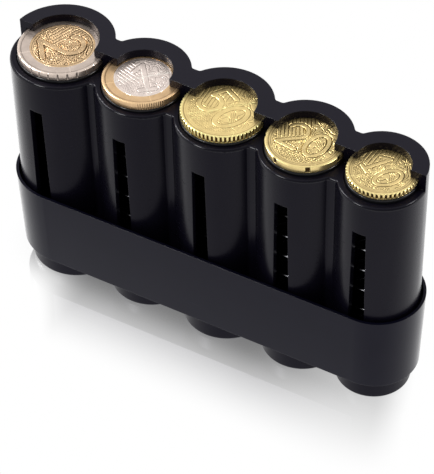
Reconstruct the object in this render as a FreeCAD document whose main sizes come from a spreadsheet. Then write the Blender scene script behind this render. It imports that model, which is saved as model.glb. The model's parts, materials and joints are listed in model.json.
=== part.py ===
"""Coin dispenser: five spring-loaded tubes in a row, each holding one size of coin.

Millimetres, +Z up. X runs along the row from the largest coin to the smallest, the front faces -Y,
and the origin is on the table under the middle of the whole object.
"""
import FreeCAD, Part
import math
import os

import Sketcher

doc = FreeCAD.newDocument("coin_dispenser")

# Driving dimensions

COINS = ("two", "one", "fifty", "twenty", "ten")
TWO_METAL_COINS = ("two", "one")

TUBE_SIZES = {
    "coin_diameter": (25.75, 23.25, 24.25, 22.25, 19.75),
    "coin_thickness": (2.20, 2.33, 2.38, 2.14, 1.93),
    "tube_diameter": (30.6, 27.6, 28.4, 26.8, 24.9),
    "mouth_diameter": (21.4, 17.2, 18.8, 17.5, 15.7),
    "spring_start": (120.0, 305.0, 60.0, 243.0, 355.0),  # degrees, where the wire's lower end lies
}

SIZES = {
    "two_core_diameter": 18.75,
    "one_core_diameter": 16.50,
    "core_clearance": 0.02,
    "coin_edge_chamfer": 0.20,
    "coin_gap": 2.55,           # between neighbouring coins along the row
    "bore_clearance": 0.45,     # all round a coin in its tube
    "web_thickness": 14.8,
    "valley_rounding": 1.0,     # where a web meets a tube
    "rim_height": 76.9,         # front rim of the tubes
    "rim_rounding": 0.8,
    "lip_height": 82.4,         # top of the lip over the back half
    "lip_thickness": 2.5,
    "neck_cut": 0.3,            # front of the lip between two tubes
    "end_cut": 1.1,             # front of the lip at both ends of the row
    "slot_top": 66.3,
    "slot_bottom": 14.0,
    "slot_top_width": 4.1,
    "slot_bottom_width": 5.4,
    "step_height": 28.0,        # below this the tubes are narrower, inside the sleeve
    "step_depth": 0.6,
    "sleeve_bottom": 7.5,
    "sleeve_top": 34.0,
    "sleeve_floor": 1.3,
    "sleeve_wall": 0.9,
    "sleeve_flare": 0.75,
    "sleeve_large_radius": 16.9,
    "sleeve_small_radius": 14.0,
    "foot_margin": 1.2,         # foot radius beyond the coin's
    "foot_rounding": 0.8,
    "foot_floor": 1.6,
    "spigot_height": 6.0,
    "spigot_clearance": 0.03,
    "spigot_wall": 1.25,
    "boss_height": 4.0,         # centres the spring, on the foot cap and under the follower
    "boss_gap": 0.5,
    "follower_height": 10.0,
    "follower_top": 1.6,
    "follower_wall": 0.9,
    "follower_clearance": 0.25,
    "follower_rounding": 0.3,
    "lift_gap": 0.05,           # between coin and lip
    "spring_wire": 0.8,
    "spring_inset": 2.0,        # bore radius less the spring's mean radius
    "spring_turns": 11.0,
    "spring_close_turns": 0.5,  # at each end
    "spring_end_pitch": 1.6,
    "spring_seat_gap": 0.05,
}

sheet = doc.addObject("Spreadsheet::Sheet", "Sizes")
for kind, values in TUBE_SIZES.items():
    for coin, number in zip(COINS, values):
        SIZES[f"{coin}_{kind}"] = number
for row_number, (alias, number) in enumerate(SIZES.items(), 1):
    sheet.set(f"A{row_number}", alias)
    sheet.set(f"B{row_number}", str(number))
    sheet.setAlias(f"B{row_number}", alias)
doc.recompute()


def size(alias):
    """A driving dimension as a number."""
    return float(sheet.get(alias))


def cell(alias):
    """A driving dimension as a formula."""
    return f"Sizes.{alias}"


# The row: each tube's place, worked out from the coins

def pitch(left, right):
    """Formula for the distance between two neighbouring tubes."""
    return f"({cell(left + '_coin_diameter')} + {cell(right + '_coin_diameter')}) / 2 + {cell('coin_gap')}"


PITCHES = [pitch(left, right) for left, right in zip(COINS, COINS[1:])]
ROW_LENGTH = " + ".join(PITCHES)
ROW_START = f"({cell('sleeve_large_radius')} - {cell('sleeve_small_radius')} - ({ROW_LENGTH})) / 2"
ROW = {coin: " + ".join([ROW_START] + PITCHES[:place]) for place, coin in enumerate(COINS)}
FIRST, LAST = COINS[0], COINS[-1]

FLOOR_TOP = f"({cell('sleeve_bottom')} + {cell('sleeve_floor')})"
LIP_UNDERSIDE = f"({cell('lip_height')} - {cell('lip_thickness')})"


def tube_radius(coin):
    return f"{cell(coin + '_tube_diameter')} / 2"


def coin_radius(coin):
    return f"{cell(coin + '_coin_diameter')} / 2"


def bore_radius(coin):
    return f"({coin_radius(coin)} + {cell('bore_clearance')})"


def coin_bottom(coin):
    return f"({LIP_UNDERSIDE} - {cell('lift_gap')} - {cell(coin + '_coin_thickness')})"


# Helpers for solids whose sizes follow the sheet

def place(thing, x, y, z):
    for axis, formula in zip("xyz", (x, y, z)):
        thing.setExpression(f"Placement.Base.{axis}", formula)


def cylinder(name, radius, bottom, top, x):
    """Upright cylinder on the row between two heights."""
    thing = doc.addObject("Part::Cylinder", name)
    thing.setExpression("Radius", radius)
    thing.setExpression("Height", f"{top} - {bottom}")
    place(thing, x, "0", bottom)
    return thing


def box(name, low, high):
    """Block between two corners, each given as three formulas."""
    thing = doc.addObject("Part::Box", name)
    for side, start, end in zip(("Length", "Width", "Height"), low, high):
        thing.setExpression(side, f"({end}) - ({start})")
    place(thing, *low)
    return thing


def fuse(name, things):
    thing = doc.addObject("Part::MultiFuse", name)
    thing.Shapes = things
    thing.Refine = True
    return thing


def cut(name, base, tools):
    thing = doc.addObject("Part::Cut", name)
    thing.Base = base
    thing.Tool = tools[0] if len(tools) == 1 else fuse(f"{name}_tools", tools)
    thing.Refine = True
    return thing


def worked_edges(kind, name, base, alias, wanted):
    """Fillet or chamfer the edges of a solid that a test picks out."""
    doc.recompute()
    amount = size(alias)
    numbers = [number for number, edge in enumerate(base.Shape.Edges, 1) if wanted(edge)]
    if not numbers:
        raise ValueError(f"{name}: no edge to work on")
    thing = doc.addObject(kind, name)
    thing.Base = base
    thing.Edges = [(number, amount, amount) for number in numbers]
    return thing


def same(first, second):
    return math.isclose(first, second, abs_tol=1e-6)


def level(edge, height):
    bounds = edge.BoundBox
    return same(bounds.ZMin, height) and same(bounds.ZMax, height)


def level_ring(*heights):
    """Test for a whole round edge lying level at one of some heights."""
    def wanted(edge):
        return edge.isClosed() and any(level(edge, height) for height in heights)
    return wanted


# Tube block: tubes, webs and lips in one moulding

def valley_edge(edge):
    """Upright inside corner between a web and a tube, above the step."""
    bounds = edge.BoundBox
    upright = same(bounds.XLength, 0) and same(bounds.YLength, 0)
    on_web = same(abs(bounds.YMin), size("web_thickness") / 2)
    return upright and on_web and bounds.ZMax > size("sleeve_top")


def front_rim_edge(edge):
    """Outer edge of the front rim, round the tubes and across the webs."""
    return level(edge, size("rim_height")) and edge.BoundBox.YMin < -size("end_cut")


def make_tube_block():
    rim, step = cell("rim_height"), cell("step_height")
    shafts, backs, bores, mouths = [], [], [], []
    for coin in COINS:
        shafts.append(cylinder(f"{coin}_shaft", tube_radius(coin), step, rim, ROW[coin]))
        narrow = f"{tube_radius(coin)} - {cell('step_depth')}"
        shafts.append(cylinder(f"{coin}_narrow_shaft", narrow, FLOOR_TOP, step, ROW[coin]))
        backs.append(cylinder(f"{coin}_back", tube_radius(coin), step, cell("lip_height"), ROW[coin]))
        bores.append(cylinder(f"{coin}_bore", bore_radius(coin), "0", LIP_UNDERSIDE, ROW[coin]))
        mouth = f"{cell(coin + '_mouth_diameter')} / 2"
        mouths.append(cylinder(f"{coin}_mouth", mouth, rim, cell("lip_height"), ROW[coin]))
    half_web = f"{cell('web_thickness')} / 2"
    for left, right in zip(COINS, COINS[1:]):
        low, high = (ROW[left], f"-{half_web}", FLOOR_TOP), (ROW[right], half_web, rim)
        shafts.append(box(f"{left}_{right}_web", low, high))
        top_of_neck = (ROW[right], half_web, cell("lip_height"))
        backs.append(box(f"{left}_{right}_neck", low, top_of_neck))
    behind = cell("sleeve_large_radius")
    lip_space = fuse("lip_space", [
        box("neck_space", (ROW[FIRST], cell("neck_cut"), step), (ROW[LAST], behind, cell("lip_height"))),
        box("end_space", (f"{ROW[FIRST]} - {behind}", cell("end_cut"), step),
            (f"{ROW[LAST]} + {behind}", behind, cell("lip_height"))),
    ])
    lip = doc.addObject("Part::MultiCommon", "lip")
    lip.Shapes = [fuse("back_halves", backs), lip_space]
    solid = fuse("solid_block", shafts + [lip])
    valleys = worked_edges("Part::Fillet", "round_valleys", solid, "valley_rounding", valley_edge)
    rims = worked_edges("Part::Fillet", "round_rims", valleys, "rim_rounding", front_rim_edge)
    slots = [make_slot_cutter(coin) for coin in COINS]
    return cut("tube_block", rims, bores + mouths + slots)


def make_slot_cutter(coin):
    """Upright wedge through a tube's front wall, wider towards the bottom."""
    wedge = doc.addObject("Part::Wedge", f"{coin}_slot")
    for side, sign in (("min", "-"), ("max", "")):
        wedge.setExpression(f"X{side}", f"{sign}{cell('slot_bottom_width')} / 2")
        wedge.setExpression(f"X2{side}", f"{sign}{cell('slot_top_width')} / 2")
    wedge.Ymin = wedge.Zmin = wedge.Z2min = 0
    wedge.setExpression("Ymax", f"{cell('slot_top')} - {cell('slot_bottom')}")
    for depth in ("Zmax", "Z2max"):
        wedge.setExpression(depth, tube_radius(coin))
    wedge.Placement.Rotation = FreeCAD.Rotation(FreeCAD.Vector(1, 0, 0), 90)
    place(wedge, ROW[coin], "0", cell("slot_bottom"))
    return wedge


# Base sleeve: a flared racetrack tray with a hole per tube

START_POINT, END_POINT, CENTRE_POINT = 1, 2, 3
X_AXIS, ORIGIN = -1, (-1, 1)
UP = FreeCAD.Vector(0, 0, 1)


def level_sketch(body, name, height):
    sketch = body.newObject("Sketcher::SketchObject", name)
    ground = next(plane for plane in body.Origin.OriginFeatures if plane.Role == "XY_Plane")
    sketch.AttachmentSupport = [(ground, "")]
    sketch.MapMode = "FlatFace"
    sketch.setExpression("AttachmentOffset.Base.z", height)
    return sketch


def hold_round(sketch, curve, along, radius):
    """Tie a circle or an arc to the row: its centre's place along it, and its radius."""
    sketch.addConstraint(Sketcher.Constraint("PointOnObject", curve, CENTRE_POINT, X_AXIS))
    drawn = sketch.Geometry[curve]
    for formula, constraint in (
        (along, Sketcher.Constraint("DistanceX", *ORIGIN, curve, CENTRE_POINT, drawn.Center.x)),
        (radius, Sketcher.Constraint("Radius", curve, drawn.Radius)),
    ):
        sketch.setExpression(f"Constraints[{sketch.addConstraint(constraint)}]", formula)


def racetrack(body, name, height, inset):
    """Closed outline of two end arcs and the lines that touch them both, drawn in by inset."""
    sketch = level_sketch(body, name, height)
    reach, depth = 3 * size("sleeve_large_radius"), size("sleeve_small_radius")
    ends, sides = [], []
    for sign in (-1, 1):
        circle = Part.Circle(FreeCAD.Vector(sign * reach, 0, 0), UP, depth)
        start = -sign * math.pi / 2
        ends.append(sketch.addGeometry(Part.ArcOfCircle(circle, start, start + math.pi)))
        left, right = FreeCAD.Vector(-reach, sign * depth, 0), FreeCAD.Vector(reach, sign * depth, 0)
        sides.append(sketch.addGeometry(Part.LineSegment(left, right)))
    large, small = ends
    front, back = sides
    for end, end_point, side, side_point in (
        (large, END_POINT, front, START_POINT), (large, START_POINT, back, START_POINT),
        (small, START_POINT, front, END_POINT), (small, END_POINT, back, END_POINT),
    ):
        sketch.addConstraint(Sketcher.Constraint("Tangent", end, end_point, side, side_point))
    hold_round(sketch, large, ROW[FIRST], f"{cell('sleeve_large_radius')} - {inset}")
    hold_round(sketch, small, ROW[LAST], f"{cell('sleeve_small_radius')} - {inset}")
    return sketch


def make_base_sleeve():
    body = doc.addObject("PartDesign::Body", "base_sleeve")
    bottom, top = cell("sleeve_bottom"), cell("sleeve_top")
    wall, flare = cell("sleeve_wall"), cell("sleeve_flare")
    floor_share = f"{cell('sleeve_floor')} / ({top} - {bottom})"
    outside = body.newObject("PartDesign::AdditiveLoft", "sleeve_outside")
    outside.Profile = racetrack(body, "outside_bottom", bottom, flare)
    outside.Sections = [racetrack(body, "outside_top", top, "0")]
    outside.Ruled = True
    doc.recompute()
    inside = body.newObject("PartDesign::SubtractiveLoft", "sleeve_inside")
    inset_at_floor = f"({wall} + {flare} * (1 - {floor_share}))"
    inside.Profile = racetrack(body, "inside_bottom", FLOOR_TOP, inset_at_floor)
    inside.Sections = [racetrack(body, "inside_top", top, wall)]
    inside.Ruled = True
    doc.recompute()
    holes = level_sketch(body, "floor_holes", bottom)
    for place_number, coin in enumerate(COINS):
        drawn_at = FreeCAD.Vector(place_number * size("sleeve_large_radius"), 0, 0)
        hole = holes.addGeometry(Part.Circle(drawn_at, UP, size("sleeve_wall")))
        hold_round(holes, hole, ROW[coin], bore_radius(coin))
    pocket = body.newObject("PartDesign::Pocket", "floor_openings")
    pocket.Profile = holes
    pocket.Reversed = True
    pocket.setExpression("Length", cell("sleeve_floor"))
    return body


# Spring seats: foot caps below, followers above

def spring_mean_radius(coin):
    return f"({bore_radius(coin)} - {cell('spring_inset')})"


def boss_radius(coin):
    return f"({spring_mean_radius(coin)} - {cell('spring_wire')} / 2 - {cell('boss_gap')})"


def make_foot_cap(coin):
    """Cup with a shoulder under the sleeve's floor and a spigot up into the tube."""
    shoulder, floor = cell("sleeve_bottom"), cell("foot_floor")
    spigot_top = f"({FLOOR_TOP} + {cell('spigot_height')})"
    spigot_radius = f"({bore_radius(coin)} - {cell('spigot_clearance')})"
    foot_radius = f"({coin_radius(coin)} + {cell('foot_margin')})"
    foot = cylinder(f"{coin}_foot", foot_radius, "0", shoulder, ROW[coin])
    foot = worked_edges("Part::Fillet", f"{coin}_round_foot", foot, "foot_rounding", level_ring(0))
    spigot = cylinder(f"{coin}_spigot", spigot_radius, floor, spigot_top, ROW[coin])
    well_radius = f"({spigot_radius} - {cell('spigot_wall')})"
    well = cylinder(f"{coin}_well", well_radius, floor, spigot_top, ROW[coin])
    cup = cut(f"{coin}_cup", fuse(f"{coin}_foot_and_spigot", [foot, spigot]), [well])
    boss_top = f"({floor} + {cell('boss_height')})"
    boss = cylinder(f"{coin}_seat_boss", boss_radius(coin), f"{floor} / 2", boss_top, ROW[coin])
    return fuse(f"foot_cap_{coin}", [cup, boss])


def make_follower(coin):
    """Cup that pushes the coins up, open below for the spring."""
    top = coin_bottom(coin)
    bottom = f"({top} - {cell('follower_height')})"
    under = f"({top} - {cell('follower_top')})"
    radius = f"({bore_radius(coin)} - {cell('follower_clearance')})"
    disc = cylinder(f"{coin}_follower_disc", radius, bottom, top, ROW[coin])
    doc.recompute()
    round_top = level_ring(disc.Shape.BoundBox.ZMax)
    disc = worked_edges("Part::Fillet", f"{coin}_follower_outside", disc, "follower_rounding", round_top)
    hollow_radius = f"{radius} - {cell('follower_wall')}"
    hollow = cylinder(f"{coin}_follower_hollow", hollow_radius, bottom, under, ROW[coin])
    cup = cut(f"{coin}_follower_cup", disc, [hollow])
    boss_low, boss_top = f"({under} - {cell('boss_height')})", f"({under} + {top}) / 2"
    boss = cylinder(f"{coin}_follower_boss", boss_radius(coin), boss_low, boss_top, ROW[coin])
    return fuse(f"follower_{coin}", [cup, boss])


# Springs: round wire wound in one helix, with closer turns at both ends

def spring_pitch(turn, turns, middle, end):
    """Rise per turn: close at both ends, opening over the next turn inwards."""
    opened = min(turn, turns - turn) - size("spring_close_turns")
    return end + (middle - end) * min(max(opened, 0.0), 1.0)


def arc_between(start, corner, finish):
    """Arc that leaves start and meets finish with tangents crossing at corner."""
    middle = (start + finish) * 0.5
    rise = corner - middle
    half_chord = (finish - start).Length / 2
    turn = 2 * math.atan2(rise.Length, half_chord)
    crown = middle + rise * (half_chord * math.tan(turn / 4) / rise.Length)
    return Part.Arc(start, crown, finish).toShape()


def biarc(start, start_way, finish, finish_way):
    """Two arcs that join two points along their given directions."""
    span, ways = finish - start, start_way + finish_way
    square = 2 * start_way.dot(finish_way) - 2
    half = -span.dot(ways)
    reach = (-half - math.sqrt(half * half - square * span.dot(span))) / square
    first_corner = start + start_way * reach
    last_corner = finish - finish_way * reach
    join = (first_corner + last_corner) * 0.5
    return [arc_between(start, first_corner, join), arc_between(join, last_corner, finish)]


def helix_points(radius, start, turns, low, high, end_pitch):
    """Points and directions at every quarter turn between two heights, from a start angle."""
    quarter = 0.25
    steps = [number * quarter for number in range(round(turns / quarter) + 1)]

    def rises(middle):
        pitches = [spring_pitch(turn, turns, middle, end_pitch) for turn in steps]
        means = [(first + last) / 2 for first, last in zip(pitches, pitches[1:])]
        return pitches, [mean * quarter for mean in means]

    flat_total, unit_total = sum(rises(0.0)[1]), sum(rises(1.0)[1])
    middle = (high - low - flat_total) / (unit_total - flat_total)
    pitches, climbs = rises(middle)
    points, ways, height = [], [], low
    for turn, pitch_here, climb in zip(steps, pitches, climbs + [0.0]):
        angle = start + 2 * math.pi * turn
        across, along = radius * math.cos(angle), radius * math.sin(angle)
        points.append(FreeCAD.Vector(across, along, height))
        ways.append(FreeCAD.Vector(-along, across, pitch_here / (2 * math.pi)).normalize())
        height += climb
    return points, ways


def least_gap(path, turns, wire):
    """Smallest gap between the wire and itself, a half turn or more along it."""
    per_turn = 24
    points = path.discretize(Number=round(turns * per_turn))
    nearest = min(
        (far - near).Length
        for index, near in enumerate(points)
        for far in points[index + per_turn // 2:index + 2 * per_turn])
    return nearest - wire


def make_spring(coin):
    wire, turns = size("spring_wire"), size("spring_turns")
    bore = size(f"{coin}_coin_diameter") / 2 + size("bore_clearance")
    radius = bore - size("spring_inset")
    seat = size("foot_floor") + size("spring_seat_gap") + wire / 2
    lifted = size("lip_height") - size("lip_thickness") - size("lift_gap")
    coin_low = lifted - size(f"{coin}_coin_thickness")
    crown = coin_low - size("follower_top") - size("spring_seat_gap") - wire / 2
    start = math.radians(size(f"{coin}_spring_start"))
    points, ways = helix_points(radius, start, turns, seat, crown, size("spring_end_pitch"))
    edges = []
    for number in range(len(points) - 1):
        edges += biarc(points[number], ways[number], points[number + 1], ways[number + 1])
    path = Part.Wire(edges)
    section = Part.Wire(Part.makeCircle(wire / 2, points[0], ways[0]))
    tube = path.makePipeShell([section], True, False)
    print(f"spring_{coin}: least gap to itself {least_gap(path, turns, wire):.2f} mm, "
          f"volume over section times length {tube.Volume / (math.pi * wire ** 2 / 4 * path.Length):.3f}")
    spring = doc.addObject("Part::Feature", f"spring_{coin}")
    spring.Shape = tube
    place(spring, ROW[coin], "0", "0")
    return spring


# Coins, one in each mouth, lifted against the lip

def make_coin(coin):
    """A coin with softened edges; two-metal coins are a ring and a core."""
    low = coin_bottom(coin)
    high = f"({low} + {cell(coin + '_coin_thickness')})"
    disc = cylinder(f"{coin}_coin_disc", coin_radius(coin), low, high, ROW[coin])
    doc.recompute()
    bounds = disc.Shape.BoundBox
    face_edges = level_ring(bounds.ZMin, bounds.ZMax)
    one_metal = coin not in TWO_METAL_COINS
    name = f"coin_{coin}" if one_metal else f"{coin}_coin_outside"
    softened = worked_edges("Part::Chamfer", name, disc, "coin_edge_chamfer", face_edges)
    if one_metal:
        return [softened]
    eye_radius = f"{cell(coin + '_core_diameter')} / 2"
    eye = cylinder(f"{coin}_coin_eye", eye_radius, low, high, ROW[coin])
    core_radius = f"{eye_radius} - {cell('core_clearance')}"
    core = cylinder(f"coin_{coin}_core", core_radius, low, high, ROW[coin])
    return [cut(f"coin_{coin}_ring", softened, [eye]), core]


pieces = [make_tube_block(), make_base_sleeve()]
for coin in COINS:
    pieces += [make_foot_cap(coin), make_follower(coin), make_spring(coin)] + make_coin(coin)
doc.recompute()

# Every object must have worked, and every piece must be a sound solid, before anything is written
for thing in doc.Objects:
    if "Invalid" in thing.State or "Error" in thing.State:
        raise RuntimeError(f"{thing.Name} failed: {thing.State}")
for piece in pieces:
    piece.Label = piece.Name
    if piece.Shape.isNull() or not piece.Shape.isValid() or len(piece.Shape.Solids) != 1:
        raise RuntimeError(f"{piece.Label} is not one sound solid")

os.makedirs("parts", exist_ok=True)
for piece in pieces:
    piece.Shape.exportStep(f"parts/{piece.Label}.step")
    bounds = piece.Shape.BoundBox
    print(f"{piece.Label}: {piece.Shape.Volume / 1000:.3f} cm3, "
          f"x {bounds.XMin:.2f} to {bounds.XMax:.2f}, y {bounds.YMin:.2f} to {bounds.YMax:.2f}, "
          f"z {bounds.ZMin:.2f} to {bounds.ZMax:.2f}")
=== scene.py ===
# %% [markdown]
# # A coin dispenser, dressed for its photograph
# The solids come from the CAD model: a black block of five spring-loaded tubes, the sleeve it
# stands in, five feet, followers, springs and one coin per tube. This lesson adds what a solid
# model lacks: finishes, struck coins and wound springs. Everything is in metres and in the
# CAD model's own frame, so nothing has to be fitted.

# %% Load the imported model as a fixed frame
import json
import math

import bpy
import numpy as np
from mathutils import Matrix, Vector


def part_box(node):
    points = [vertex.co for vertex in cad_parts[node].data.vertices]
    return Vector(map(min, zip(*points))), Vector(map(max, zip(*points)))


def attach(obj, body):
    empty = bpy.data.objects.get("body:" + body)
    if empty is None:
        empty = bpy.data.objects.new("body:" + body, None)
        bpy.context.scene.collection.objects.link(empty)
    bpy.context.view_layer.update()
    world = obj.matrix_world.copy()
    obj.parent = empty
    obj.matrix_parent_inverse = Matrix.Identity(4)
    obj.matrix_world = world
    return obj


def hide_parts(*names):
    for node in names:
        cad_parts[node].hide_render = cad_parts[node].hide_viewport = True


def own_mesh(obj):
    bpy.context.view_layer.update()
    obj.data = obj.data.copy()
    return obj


MM = 0.001
COINS = ("two", "one", "fifty", "twenty", "ten")

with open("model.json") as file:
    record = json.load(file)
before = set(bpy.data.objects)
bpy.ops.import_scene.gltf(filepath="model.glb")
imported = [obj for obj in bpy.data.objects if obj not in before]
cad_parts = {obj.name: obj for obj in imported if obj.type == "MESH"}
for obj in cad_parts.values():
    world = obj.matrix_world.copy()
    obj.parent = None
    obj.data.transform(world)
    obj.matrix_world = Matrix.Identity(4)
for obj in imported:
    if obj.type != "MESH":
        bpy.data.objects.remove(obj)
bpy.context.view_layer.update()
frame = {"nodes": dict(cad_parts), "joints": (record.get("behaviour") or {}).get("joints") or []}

# %% [markdown]
# ## The camera
# A product photograph is taken from far away with a long lens, so that the row of tubes hardly
# narrows. The place, the lean and the lens were worked out from the coins, whose sizes are known.
# The matrix is built from three directions, because a camera that leans a little is awkward to
# set with angles.

# %% Place the camera
AIM = Vector((0.31, 0.0, 28.12)) * MM
AZIMUTH, ELEVATION, LEAN = (math.radians(angle) for angle in (32.07, 44.98, -1.37))
DISTANCE = 638.8 * MM
FOCAL_PIXELS, PICTURE_HEIGHT, SENSOR = 2189.2, 474, 36.0


def camera_matrix(aim, azimuth, elevation, lean, distance):
    """Matrix of a camera that looks at a point from an azimuth and an elevation."""
    flat = math.cos(elevation)
    back = Vector((math.sin(azimuth) * flat, -math.cos(azimuth) * flat, math.sin(elevation)))
    right = Vector((0, 0, 1)).cross(back).normalized()
    up = back.cross(right)
    leaning_right = right * math.cos(lean) + up * math.sin(lean)
    leaning_up = back.cross(leaning_right)
    matrix = Matrix((leaning_right, leaning_up, back)).transposed().to_4x4()
    matrix.translation = aim + back * distance
    return matrix


lens = bpy.data.cameras.new("camera")
lens.sensor_width = SENSOR
lens.lens = FOCAL_PIXELS * SENSOR / PICTURE_HEIGHT
lens.clip_start = 10 * MM
camera = bpy.data.objects.new("camera", lens)
camera.matrix_world = camera_matrix(AIM, AZIMUTH, ELEVATION, LEAN, DISTANCE)
bpy.context.scene.collection.objects.link(camera)
bpy.context.scene.camera = camera
bpy.context.scene.view_settings.view_transform = "Standard"
print("camera at", [round(value, 4) for value in camera.location], "lens", round(lens.lens, 1))

# %% [markdown]
# ## Shader maths as plain Python
# A node tree is easiest to read as arithmetic. `Value` wraps a socket, so that `1 - mask` adds a
# Math node, and `Finish` adds any other node: its type, its settings, then what its sockets get.

# %% A socket that takes part in arithmetic


class Value:
    """A socket that takes part in Python arithmetic."""

    def __init__(self, finish, socket):
        self.finish, self.socket = finish, socket

    def math(self, operation, first, second):
        return self.finish.math(operation, first, second)

    def __add__(self, other):
        return self.math("ADD", self, other)

    def __sub__(self, other):
        return self.math("SUBTRACT", self, other)

    def __rsub__(self, other):
        return self.math("SUBTRACT", other, self)

    def __mul__(self, other):
        return self.math("MULTIPLY", self, other)

    __radd__ = __add__
    __rmul__ = __mul__


print("operators ready: + - *")

# %% A node tree under construction


class Finish:
    """A node tree under construction, for a material or for the world."""

    def __init__(self, owner):
        self.owner = owner
        owner.use_nodes = True
        self.tree = owner.node_tree
        self.tree.nodes.clear()

    def add(self, kind, settings=None, sockets=None):
        """Add a node and return its outputs by name."""
        node = self.tree.nodes.new(kind)
        for key, value in (settings or {}).items():
            setattr(node, key, value)
        for key, value in (sockets or {}).items():
            target = node.inputs[key] if isinstance(key, int) else next(
                socket for socket in node.inputs if key in (socket.identifier, socket.name))
            if isinstance(value, Value):
                self.tree.links.new(value.socket, target)
            else:
                target.default_value = value
        outputs = {}
        for socket in node.outputs:
            outputs.setdefault(socket.name, Value(self, socket))
            outputs[socket.identifier] = Value(self, socket)
        return outputs

    def math(self, operation, first, second=0.0):
        """One Math node."""
        return self.add("ShaderNodeMath", {"operation": operation}, {0: first, 1: second})["Value"]

    def place(self):
        """Where a point lies on the object, in metres."""
        return self.add("ShaderNodeTexCoord")["Object"]

    def noise(self, size, detail=2.0, roughness=0.5, stretch=(1, 1, 1)):
        """Clouds of a size in metres, from 0 to 1, drawn out along the axes by stretch."""
        scale = [1 / (size * factor) for factor in stretch]
        spot = self.add("ShaderNodeMapping", None, {"Vector": self.place(), "Scale": scale})
        sockets = {"Vector": spot["Vector"], "Scale": 1.0, "Detail": detail, "Roughness": roughness}
        return self.add("ShaderNodeTexNoise", None, sockets)["Fac"]

    def between(self, value, low, high):
        """0 below low, 1 above high, and smooth between."""
        sockets = {"Value": value, "From Min": low, "From Max": high}
        settings = {"interpolation_type": "SMOOTHSTEP"}
        return self.add("ShaderNodeMapRange", settings, sockets)["Result"]

    def upward(self, vector):
        """The part of a direction or place that points up."""
        return self.add("ShaderNodeSeparateXYZ", None, {"Vector": vector})["Z"]

    def blend(self, factor, first, second):
        """Mix of two colours."""
        sockets = {"Factor_Float": factor, "A_Color": first, "B_Color": second}
        return self.add("ShaderNodeMix", {"data_type": "RGBA"}, sockets)["Result_Color"]

    def blend_shaders(self, factor, first, second):
        """Mix of two shaders."""
        return self.add("ShaderNodeMixShader", None, {0: factor, 1: first, 2: second})["Shader"]

    def principled(self, **sockets):
        """Principled shader; a space in a socket's name is written as an underscore."""
        named = {key.replace("_", " "): value for key, value in sockets.items()}
        return self.add("ShaderNodeBsdfPrincipled", None, named)["BSDF"]

    def close(self, shader, kind="ShaderNodeOutputMaterial"):
        """Connect the output, which ends the tree."""
        self.add(kind, None, {"Surface": shader})
        return self.owner


def new_finish(name):
    """An empty material to build in."""
    return Finish(bpy.data.materials.new(name))


def colour(red, green, blue):
    """A colour as it looks on screen, from 0 to 255, in the linear numbers that shaders use."""
    screen = [part / 255 for part in (red, green, blue)]
    linear = [part / 12.92 if part < 0.04045 else ((part + 0.055) / 1.055) ** 2.4
              for part in screen]
    return (*linear, 1.0)


def scaled(paint, factor, lift=0.0):
    """A colour made lighter or darker, still opaque and at most white."""
    return tuple(min(1.0, part * factor + lift) for part in paint[:3]) + (1.0,)


print("white on screen is", colour(255, 255, 255), "and mid grey", colour(128, 128, 128))

# %% [markdown]
# ## Black moulded plastic
# The block, the sleeve and the feet are satin black plastic. Black plastic shows little of its own
# colour: what is seen is the white room, mirrored faintly face on and strongly at a grazing angle.
# A low index of refraction keeps the faces dark, and a violet tint in the mirror image gives their
# cast. Clouds in the roughness and fine flow marks stand for moulding, and small scratches for
# handling. Level faces above a height that is given for each moulding are painted a lighter grey, a
# painted top light for the light that level tops catch.
#
# A Bevel node rounds the edges by a fraction of a millimetre, so that they catch a line of light.
# A coat would be the usual way to polish them, but a coat doesn't follow the Bevel node here, so a
# second, polished shader is mixed in where the rounded normal leans between level and upright.

# %% Write the plastic finish
VIOLET_SHINE = (0.86, 0.82, 1.0, 1.0)
# Painted top light: its colour, the height over which it fades in, and extra edge polish above it.
TOP_LIGHT_COLOUR, TOP_LIGHT_EDGE, HIGH_EDGE_POLISH = colour(150, 146, 160), 1 * MM, 3.0
POLISHED_ROUGHNESS, POLISHED_INDEX = 0.10, 1.5


def polish_on_edges(finish, normal, strength):
    """How much an edge is polished: most where its rounded normal leans by half."""
    lean = finish.upward(normal)
    return finish.math("MAXIMUM", lean * (1 - lean) * strength, 0.0)


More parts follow.
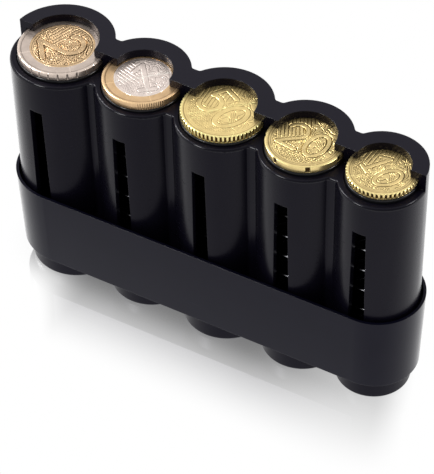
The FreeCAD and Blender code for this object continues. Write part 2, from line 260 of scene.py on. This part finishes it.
def moulded_plastic(name, tint, rough, edge_radius, index,
                    flow=(1, 1, 6), top_light_from=0.0, polish=2.2):
    """Satin plastic: flow marks, faint scratches, painted top light on level faces, polished edges.
    """
    finish = new_finish(name)
    clouds = finish.noise(9 * MM, 3.0)
    flow_marks = finish.noise(1.6 * MM, 2.0, 0.6, flow)
    scratches = finish.between(finish.noise(0.9 * MM, 1.0, 0.5, (14, 1, 1)), 0.66, 0.74)
    facing_up = finish.upward(finish.add("ShaderNodeNewGeometry")["Normal"])
    level = finish.between(facing_up, 0.85, 0.97)
    high_up = finish.between(finish.upward(finish.place()), top_light_from - TOP_LIGHT_EDGE, top_light_from)
    # Painted top light: a lighter grey on level faces above the given height, for the light they
    # catch.
    top_light = level * high_up * (0.012 + finish.noise(0.35 * MM, 2.0) * 0.012)
    body = finish.blend(clouds * 0.7 + flow_marks * 0.3, tint, scaled(tint, 1.5, 0.0005))
    roughness = rough + (clouds - 0.5) * 0.06 + (flow_marks - 0.5) * 0.03
    roughness = roughness + scratches * 0.06 + level * 0.12
    soft_edges = finish.add("ShaderNodeBevel", {"samples": 6}, {"Radius": edge_radius})["Normal"]
    grain = finish.noise(0.22 * MM, 2.0) * 0.6 + flow_marks * 0.4 - scratches * 0.25
    bumps = {"Strength": 0.03, "Distance": 0.05 * MM, "Height": grain, "Normal": soft_edges}
    satin = finish.principled(
        Base_Color=finish.blend(top_light, body, TOP_LIGHT_COLOUR), Roughness=roughness, IOR=index,
        Normal=finish.add("ShaderNodeBump", None, bumps)["Normal"], Specular_Tint=VIOLET_SHINE)
    polished = finish.principled(
        Base_Color=body, Roughness=POLISHED_ROUGHNESS, IOR=POLISHED_INDEX, Normal=soft_edges)
    edges = polish_on_edges(finish, soft_edges, polish + high_up * HIGH_EDGE_POLISH)
    return finish.close(finish.blend_shaders(edges, satin, polished))


print("plastic finish ready, edges polished to a roughness of", POLISHED_ROUGHNESS)

# %% [markdown]
# Each moulding has its own polish. The sleeve is glossier and its flow marks run along the row,
# the feet are duller, and the followers inside are nearly matt. On the block the painted top light
# starts just below the lips, so that only they carry it. The sleeve gets none: its painted top
# light would start a metre up.

# %% Make the plastic finishes and dress the mouldings
NO_TOP_LIGHT = 1.0
block_plastic = moulded_plastic(
    "black_block_plastic", colour(7, 6, 14), 0.26, 0.22 * MM, 1.20, top_light_from=81 * MM)
sleeve_plastic = moulded_plastic(
    "black_sleeve_plastic", colour(6, 6, 18), 0.20, 0.22 * MM, 1.205,
    flow=(6, 1, 1), top_light_from=NO_TOP_LIGHT, polish=4.0)
foot_plastic = moulded_plastic("black_foot_plastic", colour(4, 3, 14), 0.36, 0.15 * MM, 1.18)
follower_plastic = moulded_plastic(
    "matt_follower_plastic", colour(14, 14, 16), 0.5, 0.2 * MM, 1.30)


def dress(node, material):
    """Give a CAD node a finish, keeping its shape."""
    mesh = frame["nodes"][node].data
    mesh.materials.clear()
    mesh.materials.append(material)


dress("tube_block", block_plastic)
dress("base_sleeve", sleeve_plastic)
for coin in COINS:
    dress(f"foot_cap_{coin}", foot_plastic)
    dress(f"follower_{coin}", follower_plastic)
print("plastic nodes dressed:", 2 + 2 * len(COINS))

# %% [markdown]
# ## Coin metals
# Coins are bare metal, so nearly all their colour is a tinted mirror image of the room. A used coin
# is browner in the hollows, and its ridges are polished by wear and painted lighter, a painted
# highlight. The Pointiness output of the Geometry node tells hollows from ridges on a dense mesh,
# which is enough here and needs no painted map.

# %% Make the coin metals
COIN_ROUGHNESS, COIN_METALLIC = 0.34, 0.85


def struck_metal(name, bright, hollow):
    """Coin metal: browner in the hollows, polished ridges with a painted highlight, stains, fine
    wear.
    """
    finish = new_finish(name)
    pointiness = finish.add("ShaderNodeNewGeometry")["Pointiness"]
    raised = finish.between(pointiness, 0.465, 0.505)
    wear_and_highlight = finish.between(pointiness, 0.515, 0.56)
    stains = finish.noise(2.4 * MM, 3.0, 0.6)
    wear = finish.noise(0.30 * MM, 2.0, 0.6, (3, 1, 1))
    metal = finish.blend(raised * 0.85 + (stains - 0.5) * 0.5, hollow, bright)
    # Painted highlight: the polished ridges are painted lighter than the bright metal.
    metal = finish.blend(wear_and_highlight * 0.6, metal, scaled(bright, 1.3))
    roughness = COIN_ROUGHNESS + (stains - 0.5) * 0.12 + (wear - 0.5) * 0.16
    roughness = roughness + (1 - raised) * 0.12 - wear_and_highlight * 0.14
    bumps = {"Strength": 0.25, "Distance": 0.03 * MM, "Height": wear * 0.7 + stains * 0.3}
    return finish.close(finish.principled(
        Base_Color=metal, Metallic=COIN_METALLIC, Roughness=roughness,
        Normal=finish.add("ShaderNodeBump", None, bumps)["Normal"]))


METALS = {name: struck_metal(f"{name}_coin_metal", colour(*bright), colour(*hollow))
          for name, bright, hollow in (
              ("yellow", (246, 220, 151), (92, 62, 22)),
              ("worn_yellow", (236, 210, 146), (60, 40, 12)),
              ("tan", (225, 190, 146), (92, 64, 36)),
              ("worn_tan", (219, 187, 145), (44, 28, 12)),
              ("white", (239, 224, 215), (88, 78, 74)),
              ("worn_white", (209, 193, 181), (82, 72, 66)))}
print("coin metals:", ", ".join(METALS))

# %% [markdown]
# ## Spring wire
# Wire is drawn through a die, which leaves fine lines along it. The steel is bright, and above a
# height of its own on each kind of wire it is painted nearly black, a painted shade. So one
# function makes a bright spring, one with painted shade on its upper turns and one with painted
# shade all over.

# %% Make the wire finishes
SHADE_EDGE = 8 * MM


def drawn_wire(name, shade_from):
    """Spring wire: bright steel with fine lines along it, and painted shade above a height."""
    finish = new_finish(name)
    lines = finish.noise(0.25 * MM, 2.0, 0.6, (1, 1, 0.4))
    streaks = lines * 0.6 + finish.noise(4 * MM) * 0.4
    steel = finish.blend(streaks, colour(120, 120, 126), colour(210, 210, 216))
    # Painted shade: nearly black steel above the given height.
    shaded_steel = finish.blend(streaks, colour(3, 3, 4), colour(8, 8, 9))
    shade = finish.between(finish.upward(finish.place()), shade_from, shade_from + SHADE_EDGE)
    return finish.close(finish.principled(
        Base_Color=finish.blend(shade, steel, shaded_steel), Metallic=1.0, Roughness=0.10 + lines * 0.12))


unshaded_wire = drawn_wire("bright_spring_wire", 75 * MM)
half_shaded_wire = drawn_wire("half_oiled_spring_wire", 53 * MM)
shaded_wire = drawn_wire("oiled_spring_wire", -SHADE_EDGE)
WIRES = dict(zip(COINS, (shaded_wire, half_shaded_wire, shaded_wire, half_shaded_wire, unshaded_wire)))
print("wires:", ", ".join(f"{coin} {wire.name}" for coin, wire in WIRES.items()))

# %% [markdown]
# ## Springs
# Each spring is round wire wound in eleven turns, closer at both ends. It is a plain mesh, rings of
# points carried along the helix, rather than a curve with a bevel. The script works out how short
# each spring gets with its follower down, but leaves it at full length.

# %% Helpers for mesh pieces and wire
WIRE, TURNS, END_PITCH, CLOSE_TURNS = 0.8 * MM, 11, 1.6 * MM, 0.5
STEPS_PER_TURN, WIRE_SIDES = 36, 10


def new_piece(name, points, faces, material, body, slot, *nodes):
    """A mesh piece that rides on a body and stands for CAD nodes."""
    mesh = bpy.data.meshes.new(name)
    mesh.from_pydata(points.tolist(), [], faces)
    mesh.validate()
    mesh.shade_smooth()
    mesh.materials.append(material)
    piece = bpy.data.objects.new(name, mesh)
    bpy.context.scene.collection.objects.link(piece)
    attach(piece, body)
    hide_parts(*nodes)
    return piece


def helix_heights(low, high):
    """Turns wound and height at each step along the wire, with closer turns at both ends."""
    turns = np.linspace(0, TURNS, TURNS * STEPS_PER_TURN + 1)
    openness = np.clip(np.minimum(turns, TURNS - turns) - CLOSE_TURNS, 0, 1)
    openness = (openness[1:] + openness[:-1]) / 2
    climb = (high - low - TURNS * END_PITCH) / openness.sum()
    rises = END_PITCH / STEPS_PER_TURN + openness * climb
    return turns, low + np.concatenate([[0], np.cumsum(rises)])


def tube_along(path, radius, sides):
    """Points and faces of a round tube along a path, closed at both ends."""
    ahead = np.gradient(path, axis=0)
    ahead /= np.linalg.norm(ahead, axis=1)[:, None]
    across = np.cross(ahead, [0, 0, 1])
    across /= np.linalg.norm(across, axis=1)[:, None]
    upward = np.cross(across, ahead)
    angles = np.linspace(0, 2 * np.pi, sides, endpoint=False)
    rings = [path + radius * (math.cos(a) * across + math.sin(a) * upward) for a in angles]
    points = np.stack(rings, 1).reshape(-1, 3)
    around = [(i, (i + 1) % sides) for i in range(sides)]
    starts = range(0, sides * (len(path) - 1), sides)
    faces = [(row + i, row + j, row + sides + j, row + sides + i)
             for row in starts for i, j in around]
    last = sides * (len(path) - 1)
    faces += [tuple(range(sides))[::-1], tuple(range(last, last + sides))]
    return points, faces


print("wire", WIRE / MM, "mm thick,", TURNS, "turns")

# %% Wind the springs
STARTS = dict(zip(COINS, (120, 305, 60, 243, 355)))

for coin in COINS:
    low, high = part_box(f"spring_{coin}")
    middle, radius = (low + high) / 2, (high.x - low.x - WIRE) / 2
    turns, heights = helix_heights(low.z + WIRE / 2, high.z - WIRE / 2)
    angles = math.radians(STARTS[coin]) + 2 * np.pi * turns
    path = np.stack([middle.x + radius * np.cos(angles),
                     middle.y + radius * np.sin(angles), heights], 1)
    wire_points, wire_faces = tube_along(path, WIRE / 2, WIRE_SIDES)
    spring = new_piece(f"wound_spring_{coin}", wire_points, wire_faces, WIRES[coin], "housing",
                       "spring_steel", f"spring_{coin}")
    lift = next(joint for joint in frame["joints"] if joint["name"] == f"pusher_{coin}_lift")
    length = high.z - low.z
    (length + lift["range_m"][0]) / length
    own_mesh(spring)
    print(spring.name, "shortens to", round((length + lift["range_m"][0]) / MM, 1), "mm")

# %% [markdown]
# ## Coins
# A coin is struck: its rim stands up, the field lies lower, and the design rises from the field or
# is cut into it. Bump maps look flat at an angle, so the design is real height here. Each coin is a
# disc of fine rings, and the design is a function of a point on the face, in millimetres: a plain
# numeral drawn from strokes, hatching beside it, lines that wander over the rest of the ground,
# stipple, which is strongest below the numeral, and a border line.

# %% Strokes for the numerals


def arc(centre, radii, start, end, count=14):
    """Points along part of an ellipse, angles in degrees."""
    angles = np.radians(np.linspace(start, end, count))
    x, y = centre[0] + radii[0] * np.cos(angles), centre[1] + radii[1] * np.sin(angles)
    return np.stack([x, y], 1)


ONE_STEM = np.array([(-0.20, 0.26), (0.06, 0.50), (0.06, -0.50)])
ONE_FOOT = np.array([(-0.14, -0.50), (0.26, -0.50)])
TWO_BOW, TWO_FOOT = arc((0, 0.20), (0.30, 0.30), 165, -35), [(-0.30, -0.50), (0.34, -0.50)]
FIVE_TOP = [(0.27, 0.50), (-0.22, 0.50), (-0.25, 0.06)]
FIVE_BOW = arc((0.0, -0.18), (0.31, 0.32), 130, -145)
DIGITS = {
    "0": [arc((0, 0), (0.30, 0.50), 0, 360, 29)],
    "1": [ONE_STEM, ONE_FOOT],
    "2": [np.concatenate([TWO_BOW, TWO_FOOT])],
    "5": [np.concatenate([FIVE_TOP, FIVE_BOW])],
}
DIGIT_WIDTH = 0.80


def stroke_distance(points, strokes):
    """Distance from each point to the nearest stroke."""
    nearest = np.full(len(points), np.inf)
    for stroke in strokes:
        for start, end in zip(stroke, stroke[1:]):
            along = end - start
            share = np.clip((points - start) @ along / (along @ along), 0, 1)
            off = np.linalg.norm(points - start - share[:, None] * along, axis=1)
            nearest = np.minimum(nearest, off)
    return nearest


def smooth(value, low, high):
    """0 at low, 1 at high, with level ends, for arrays."""
    share = np.clip((value - low) / (high - low), 0, 1)
    return share * share * (3 - 2 * share)


print("numerals:", " ".join(DIGITS))

# %% [markdown]
# Grooves read better than ridges at this size, because a groove holds dirt and shows as a thin dark
# line. So the numeral stands only a little proud, inside a groove, and hatching and wandering lines
# are grooves too. Sums of sine waves give the stipple and bend the lines: they repeat exactly each
# time the script runs and need no random numbers.

# %% Grooves, lines and stipple
LINE_WIDTH, STROKE_SHARE = 0.14, 0.065
NUMERAL_RISE, NUMERAL_GROOVE, HATCH_DEPTH, CONTOUR_DEPTH = 0.04, 0.17, 0.15, 0.13
STIPPLE_RISE, BORDER_DEPTH = 0.045, 0.05
CONTOUR_WAVES, CONTOUR_BEND, CONTOUR_ACROSS = (5.1, 4.3, 6.2, 3.7), 0.55, (0.35, 0.94)
WAVE_TURN = 2.4


def engraved(distance, depth):
    """A narrow groove along the line where the distance is nought."""
    return -depth * np.exp(-(distance / LINE_WIDTH) ** 2)


def numeral_height(points, numeral, tall):
    """Numeral a little proud of the field inside a narrow groove, and the room it takes."""
    places = (np.arange(len(numeral)) - (len(numeral) - 1) / 2) * DIGIT_WIDTH
    gaps = [stroke_distance(points / tall - (place, 0), DIGITS[digit])
            for place, digit in zip(places, numeral)]
    off_edge = (np.min(gaps, axis=0) - STROKE_SHARE) * tall
    plate = NUMERAL_RISE * smooth(off_edge, 0.05, -0.15)
    groove = engraved(off_edge - LINE_WIDTH, NUMERAL_GROOVE)
    return plate + groove, smooth(off_edge, 0.45, 0.15)


def hatching(points, slant, spacing):
    """Fine parallel grooves."""
    across = points @ np.array([math.cos(slant), math.sin(slant)])
    return engraved(np.abs(across / spacing % 1 - 0.5) * spacing, HATCH_DEPTH)


def waves(points, lengths):
    """Sum of waves in as many directions as there are lengths."""
    turns = np.arange(len(lengths)) * WAVE_TURN
    return sum(np.sin(2 * np.pi * (points @ (math.cos(t), math.sin(t))) / length + t * t)
               for t, length in zip(turns, lengths))


def stipple(points, size):
    """Irregular low bumps."""
    return STIPPLE_RISE * np.clip(waves(points, size * (0.8 + 0.07 * np.arange(7))), -2, 2)


def wandering_lines(points, spacing):
    """Engraved lines that wander like the contours of a hill."""
    contour = (points @ CONTOUR_ACROSS) / spacing + CONTOUR_BEND * waves(points, CONTOUR_WAVES)
    return engraved(np.abs(contour % 1 - 0.5) * spacing, CONTOUR_DEPTH)


print("lines", LINE_WIDTH, "mm wide, deepest", NUMERAL_GROOVE, "mm")

# %% The design on a coin's face


def face_height(points, numeral, tall, reach):
    """Height of the whole design, in millimetres, at points on the face."""
    x, y = points.T / reach
    radius = np.hypot(x, y)
    number, taken = numeral_height(points, numeral, tall)
    inside = smooth(radius, 0.93, 0.89)
    left = smooth(x, -0.10, -0.22) * smooth(y, -0.35, -0.25)
    low = smooth(y, -0.20, -0.32)
    ground = wandering_lines(points, 1.15) * (1 - left) * (1 - 0.5 * low)
    ground = ground + left * hatching(points, 0.6, 1.05)
    ground = ground + 0.6 * low * stipple(points, 0.6) + 0.16 * stipple(points, 0.5)
    border = engraved((radius - 0.955) * reach, BORDER_DEPTH)
    return number + ground * inside * (1 - 0.8 * taken) + border


print("design ready: numeral, hatching, wandering lines, stipple and border")

# %% [markdown]
# The edge tells coins apart by touch. The largest and the smallest yellow coin have coarse notches,
# and the middle one is smooth with seven dents. Of the two-metal coins, one has fine reeding in
# patches and the other shallow, narrow notches. "relief" sets how strong a design is left after
# wear, "turn" how the coin happens to lie, and "steps" how many points go round it.

# %% Edges that tell the coins apart


def notches(count, depth, share):
    """Evenly spaced notches with rounded flanks."""
    def cut(angle):
        wave = np.abs((angle * count / (2 * np.pi)) % 1 - 0.5) * 2
        return depth * smooth(wave, 1 - share, 1 - share * 0.45)
    return cut


def reeding_in_patches(angle):
    """Fine ridges in three patches round the edge."""
    ridges = 0.12 * (0.5 + 0.5 * np.cos(angle * 110))
    return ridges * smooth(np.cos(angle * 3 + 4.5), 0.35, 0.60)


STRIKES = {
    "two": {"relief": 1.8, "numeral": "2", "turn": -50,
            "edge": notches(29, 0.16, 0.24), "steps": 1000},
    "one": {"relief": 0.45, "numeral": "1", "turn": 40,
            "edge": reeding_in_patches, "steps": 1050},
    "fifty": {"relief": 0.5, "numeral": "50", "turn": -28,
              "edge": notches(62, 0.55, 0.62), "steps": 868},
    "twenty": {"relief": 1.35, "numeral": "20", "turn": -6,
               "edge": notches(7, 0.40, 0.16), "steps": 700},
    "ten": {"relief": 0.85, "numeral": "10", "turn": -35,
            "edge": notches(50, 0.55, 0.62), "steps": 900},
}
print("edges for", ", ".join(STRIKES))

# %% [markdown]
# A coin's section runs from the middle over the field, up the rim, round the edge and back under
# it. The rim is a short table: how far in from the outside, how far from the coin's upper or lower
# face, and how much of the edge's notches reach that ring. A core of another metal has no rim, only
# a broken corner.

# %% Build a struck disc or ring from fine rings
RIM_WIDTH, RIM_SLOPE, RIM_RISE, EDGE_BREAK = 0.85, 0.22, 0.20, 0.16
CORE_BREAK, EYE, RING_STEP = 0.06, 0.05, 0.11
EDGE = [(EDGE_BREAK + 0.12, 0, 0), (0.04, EDGE_BREAK, 0.35), (0, EDGE_BREAK + 0.18, 1)]
RIM_TOP = [(RIM_WIDTH, 0.02, 0), (RIM_WIDTH - 0.12, 0, 0), *EDGE]
RIM_LOW = [*EDGE[::-1], (RIM_WIDTH, 0, 0), (RIM_WIDTH + RIM_SLOPE, RIM_RISE, 0)]


def lathe(rings, steps, hollow):
    """Faces between rings of points, with lids on a disc and the last ring joined to the first
    on a hollow ring."""
    count = len(rings)
    around = [(i, (i + 1) % steps) for i in range(steps)]
    pairs = [(row, row + 1) for row in range(count - 1)] + ([(count - 1, 0)] if hollow else [])
    faces = [(a * steps + i, b * steps + i, b * steps + j, a * steps + j)
             for a, b in pairs for i, j in around]
    if not hollow:
        last = (count - 1) * steps
        faces += [tuple(range(steps)), tuple(range(last, last + steps))[::-1]]
    return np.concatenate(rings), faces


def struck_rings(inner, outer, low, high, height, edge, steps, rimmed):
    """Rings of points of a coin or of one of its metals, in millimetres about its own middle."""
    angle = np.linspace(0, 2 * np.pi, steps, endpoint=False)
    spokes = np.stack([np.cos(angle), np.sin(angle)], 1)

    def ring(radius, level, cut=0.0, relief=False):
        flat = spokes * (radius - cut * edge(angle))[:, None]
        level = np.full(steps, level) + (height(flat) if relief else 0)
        return np.column_stack([flat, level])

    field_top, field_low = high - RIM_RISE, low + RIM_RISE
    field_end = outer - (RIM_WIDTH + RIM_SLOPE if rimmed else CORE_BREAK)
    start = max(inner, EYE)
    radii = np.linspace(start, field_end, max(8, int((field_end - start) / RING_STEP)))
    rings = [ring(radius, field_top, relief=True) for radius in radii]
    if rimmed:
        rings += [ring(outer - inset, high - drop, cut) for inset, drop, cut in RIM_TOP]
        rings += [ring(outer - inset, low + drop, cut) for inset, drop, cut in RIM_LOW]
    else:
        rings += [ring(outer, field_top - CORE_BREAK), ring(outer, field_low + CORE_BREAK),
                  ring(outer - CORE_BREAK, field_low)]
    return rings + [ring(start, field_low)]


print("rim of", len(RIM_TOP) + len(RIM_LOW), "rings")

# %% Strike one metal of a coin
CREASE = math.radians(38)


def smooth_edge(angle):
    """An edge without notches."""
    return np.zeros(len(angle))


def strike(name, node, coin, inner, outer, metal, slot, rimmed, design):
    """One metal of a coin as a mesh piece in place of its CAD node."""
    plan = STRIKES[coin]
    low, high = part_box(node)
    edge = plan["edge"] if rimmed else smooth_edge
    rings = struck_rings(inner, outer, low.z / MM, high.z / MM, design, edge, plan["steps"], rimmed)
    points, faces = lathe(rings, plan["steps"], inner > 0)
    turn = math.radians(plan["turn"])
    cos, sin = math.cos(turn), math.sin(turn)
    turned = points[:, :2] @ np.array([[cos, sin], [-sin, cos]])
    middle = (low + high) / 2
    placed = np.column_stack([turned * MM + (middle.x, middle.y), points[:, 2] * MM])
    piece = new_piece(name, placed, faces, METALS[metal], f"coin_{coin}", slot, node)
    piece.data.set_sharp_from_angle(angle=CREASE)
    print(name, len(placed), "points")


print("edges sharper than", round(math.degrees(CREASE)), "degrees stay crisp")

# %% [markdown]
# The two-metal coins are struck as two pieces, a ring and a core, with a hair's breadth between
# them, as they are made: one blow presses the core into the ring and strikes the design.

# %% Strike the coins
CORE_GAP = 0.02


def half_width(node):
    """Outer radius of a coin's node, in millimetres."""
    low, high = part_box(node)
    return (high.x - low.x) / 2 / MM


def plain_field(points):
    """A field without a design."""
    return np.zeros(len(points))


def design_for(coin, reach, tall):
    """The height function of a coin's design."""
    plan = STRIKES[coin]
    return lambda points: plan["relief"] * face_height(points, plan["numeral"], tall, reach)


for coin, ring_metal, ring_slot, core_metal, core_slot in (
    ("two", "worn_white", "coin_silver", "worn_tan", "coin_gold"),
    ("one", "tan", "coin_gold", "white", "coin_silver"),
):
    core, ring = f"coin_{coin}_core", f"coin_{coin}_ring"
    reach = half_width(core)
    strike(f"struck_ring_{coin}", ring, coin, reach + CORE_GAP, half_width(ring), ring_metal,
           ring_slot, True, plain_field)
    strike(f"struck_core_{coin}", core, coin, 0.0, reach, core_metal,
           core_slot, False, design_for(coin, reach * 0.97, 1.30 * reach))
for coin, metal in (("fifty", "yellow"), ("twenty", "worn_yellow"), ("ten", "worn_yellow")):
    outer = half_width(f"coin_{coin}")
    reach = outer - RIM_WIDTH - RIM_SLOPE
    strike(f"struck_coin_{coin}", f"coin_{coin}", coin, 0.0, outer, metal,
           "coin_gold", True, design_for(coin, reach * 0.98, 0.92 * reach))

# %% [markdown]
# ## Floor, room and lamps
# The photograph was taken in a white room on a glossy white sheet: the feet are mirrored, and the
# image fades towards the viewer and towards the right end of the row. The floor therefore mixes
# three things by place: plain white far away, a lit matt white near the feet that keeps the shadow,
# and a mirror that fades with the distance from them. Only the camera sees the matt part and the
# mirror. What the plastic mirrors is plain white that is lighter behind the row, most on the left,
# and at the front right, because the sheet isn't lit evenly.

# %% Write the floor's finish
FLOOR_WHITE = colour(246, 246, 247)
ROW_END = 55 * MM
MATT_SHARE, MIRROR_SHARE, MIRROR_ROUGHNESS = 0.3, 0.74, 0.05


def off_the_row(finish, along, across):
    """Distance from the line through the feet."""
    past_end = finish.math("MAXIMUM", finish.math("ABSOLUTE", along) - ROW_END, 0.0)
    return finish.math("SQRT", past_end * past_end + across * across)


def uneven_light(finish, along, across):
    """How much more than plain white the sheet looks in a mirror."""
    left = finish.between(0.0 - along, -20 * MM, 90 * MM)
    behind = finish.between(across, -60 * MM, 60 * MM) * (0.65 + left * 0.9)
    front = finish.between(0.0 - across, 28 * MM, 50 * MM)
    return behind + finish.between(along, 10 * MM, 90 * MM) * front * 0.25


def floor_finish():
    """White sheet that is matt near the feet and mirrors them."""
    finish = new_finish("white_floor")
    parts = finish.add("ShaderNodeSeparateXYZ", None, {"Vector": finish.place()})
    along, across = parts["X"], parts["Y"]
    seen = finish.add("ShaderNodeLightPath")["Is Camera Ray"]
    away = off_the_row(finish, along, across)
    right = along + across * 0.35
    faded = (finish.between(right, 10 * MM, 54 * MM) * 0.56
             + finish.between(right, 55 * MM, 67 * MM) * 0.44)
    strength = 1.0 + uneven_light(finish, along, across) * (1 - seen)
    white = finish.add("ShaderNodeEmission", None, {"Strength": strength})["Emission"]
    matt = finish.principled(Base_Color=FLOOR_WHITE, Roughness=0.5, IOR=1.2)
    near = (1 - finish.between(away, 10 * MM, 19 * MM)) * (1 - faded) * MATT_SHARE * seen
    sheet = finish.blend_shaders(near, white, matt)
    gloss = {"Color": (1, 1, 1, 1), "Roughness": MIRROR_ROUGHNESS}
    mirror = finish.add("ShaderNodeBsdfGlossy", None, gloss)["BSDF"]
    reach = away * (1 + finish.between(0.0 - along, 36 * MM, 56 * MM) * 0.8)
    shine = (1 - finish.between(reach, 8 * MM, 40 * MM)) * (1 - faded) * MIRROR_SHARE * seen
    return finish.close(finish.blend_shaders(shine, sheet, mirror))


print("floor mirrors", MIRROR_SHARE, "of the light at the feet")

# %% Lay the floor
FLOOR_SIZE, FLOOR_DROP = 3.0, 0.05 * MM

half = FLOOR_SIZE / 2
floor_mesh = bpy.data.meshes.new("floor")
corners = [(x * half, y * half, -FLOOR_DROP) for x, y in ((-1, -1), (1, -1), (1, 1), (-1, 1))]
floor_mesh.from_pydata(corners, [], [(0, 1, 2, 3)])
floor_mesh.materials.append(floor_finish())
floor = bpy.data.objects.new("floor", floor_mesh)
bpy.context.scene.collection.objects.link(floor)
print("floor", FLOOR_SIZE, "m wide")

# %% [markdown]
# The world is white where the camera looks at it and a plain soft fill for everything else. Mirrors
# see it white too, but dim on the camera's side, as if the photographer stood in the darker half of
# the room: that keeps the fronts of the black rims dark.

# %% Light the room
FILL, DIM, CAMERA_SIDE = 0.5, 0.75, (0.53, -0.85, 0.0)

world = Finish(bpy.data.worlds.new("room"))
bpy.context.scene.world = world.owner
ray = world.add("ShaderNodeLightPath")
direction = world.add("ShaderNodeTexCoord")["Generated"]
forward = world.add("ShaderNodeVectorMath", {"operation": "DOT_PRODUCT"},
                    {0: direction, 1: CAMERA_SIDE})["Value"]
dim_side = world.between(forward, -0.1, 0.5) * DIM
strength = (FILL + (ray["Is Camera Ray"] + ray["Is Transmission Ray"]) * (1 - FILL)
            + ray["Is Glossy Ray"] * (1 - FILL - dim_side))
room = world.add("ShaderNodeBackground", None, {"Color": (1, 1, 1, 1), "Strength": strength})
world.close(room["Background"], "ShaderNodeOutputWorld")
print("fill", FILL, "of white")

# %% [markdown]
# Three softboxes add direction: one on the left draws the arcs of light on the rims, one at the
# front lights the tubes and the springs in their slots, and a weaker one on the right lifts the
# small end. None hangs opposite the camera, where the level coins would mirror it and burn out.

# %% Hang the lamps
LAMP_DISTANCE = 0.9
SOFTBOXES = {
    "softbox_left": {"azimuth": -92, "elevation": 50, "size": (0.20, 0.26), "power": 3.6},
    "softbox_front": {"azimuth": -30, "elevation": 46, "size": (0.22, 0.26), "power": 2.3},
    "softbox_right": {"azimuth": 115, "elevation": 48, "size": (0.20, 0.24), "power": 1.8},
}

for name, plan in SOFTBOXES.items():
    lamp = bpy.data.lights.new(name, "AREA")
    lamp.shape, lamp.energy = "RECTANGLE", plan["power"]
    lamp.size, lamp.size_y = plan["size"]
    softbox = bpy.data.objects.new(name, lamp)
    azimuth, elevation = math.radians(plan["azimuth"]), math.radians(plan["elevation"])
    softbox.matrix_world = camera_matrix(AIM, azimuth, elevation, 0.0, LAMP_DISTANCE)
    bpy.context.scene.collection.objects.link(softbox)
print("lamps:", ", ".join(SOFTBOXES))
